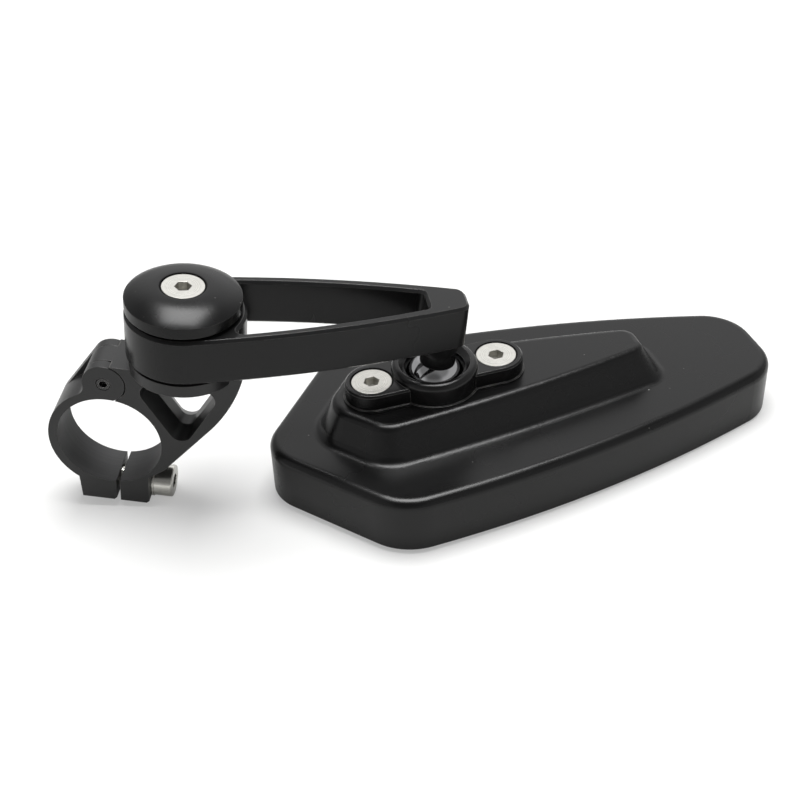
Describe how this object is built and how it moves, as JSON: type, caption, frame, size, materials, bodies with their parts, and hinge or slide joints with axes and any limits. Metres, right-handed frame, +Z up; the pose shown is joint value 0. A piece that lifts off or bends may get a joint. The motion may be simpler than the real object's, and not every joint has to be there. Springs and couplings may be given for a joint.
{
  "type": "motorcycle bar end mirror",
  "caption": "Handlebar end mirror: hinged clamp ring with a pocketed bracket, swinging arm with a long window, and a coffin-shaped mirror head on a ball joint.",
  "frame": {"origin": "centre of the clamp bore", "axes": "+Y along the handlebar bore, +X from the clamp towards the mirror head, +Z up, square to the mirror face"},
  "size_m": [0.1543, 0.0712, 0.055],
  "materials": {
    "black_anodised": "satin black anodised",
    "black_satin_coat": "satin black coating",
    "black_steel": "black oxide",
    "stainless": "plain stainless",
    "polished_steel": "polished",
    "black_nylon": "moulded",
    "brass": "turned",
    "mirror": "silvered glass",
    "foam": "foam tape"
  },
  "bodies": {
    "bracket": {"clamp_bracket": "black_anodised", "hinge_pin": "black_steel", "clamp_screw": "stainless", "clamp_washer": "stainless", "lower_friction_washer": "black_nylon", "upper_friction_washer": "black_nylon", "pivot_bush": "brass", "pivot_cap": "black_anodised", "pivot_screw": "stainless"},
    "jaw": {"clamp_jaw": "black_anodised"},
    "arm": {"mirror_arm": "black_anodised"},
    "ball": {"ball_stud": "polished_steel"},
    "liner": {"ball_liner": "black_nylon"},
    "head": {"socket_plate": "black_anodised", "socket_screws": "stainless", "mirror_housing": "black_satin_coat", "mirror_glass": "mirror", "glass_pad": "foam"}
  },
  "joints": [
    {"name": "jaw_hinge", "type": "hinge", "parent": "bracket", "child": "jaw", "pos_m": [0.0012, 0, 0.01496], "axis": [0, 1, 0], "range_deg": [-1.2, 2.5]},
    {"name": "arm_pivot", "type": "hinge", "parent": "bracket", "child": "arm", "pos_m": [0.01781, 0, 0.02031], "axis": [0.1132, 0, 0.9936], "range_deg": [-80, 80]},
    {"name": "head_spin", "type": "hinge", "parent": "arm", "child": "ball", "pos_m": [0.06729, 0.01416, 0.0034], "axis": [0.1132, 0, 0.9936], "range_deg": [-90, 90]},
    {"name": "head_tilt", "type": "hinge", "parent": "ball", "child": "liner", "pos_m": [0.06729, 0.01416, 0.0034], "axis": [-0.3882, 0.9216, 0], "range_deg": [-14, 14]},
    {"name": "head_roll", "type": "hinge", "parent": "liner", "child": "head", "pos_m": [0.06729, 0.01416, 0.0034], "axis": [0.9216, 0.3882, 0], "range_deg": [-14, 14]}
  ]
}
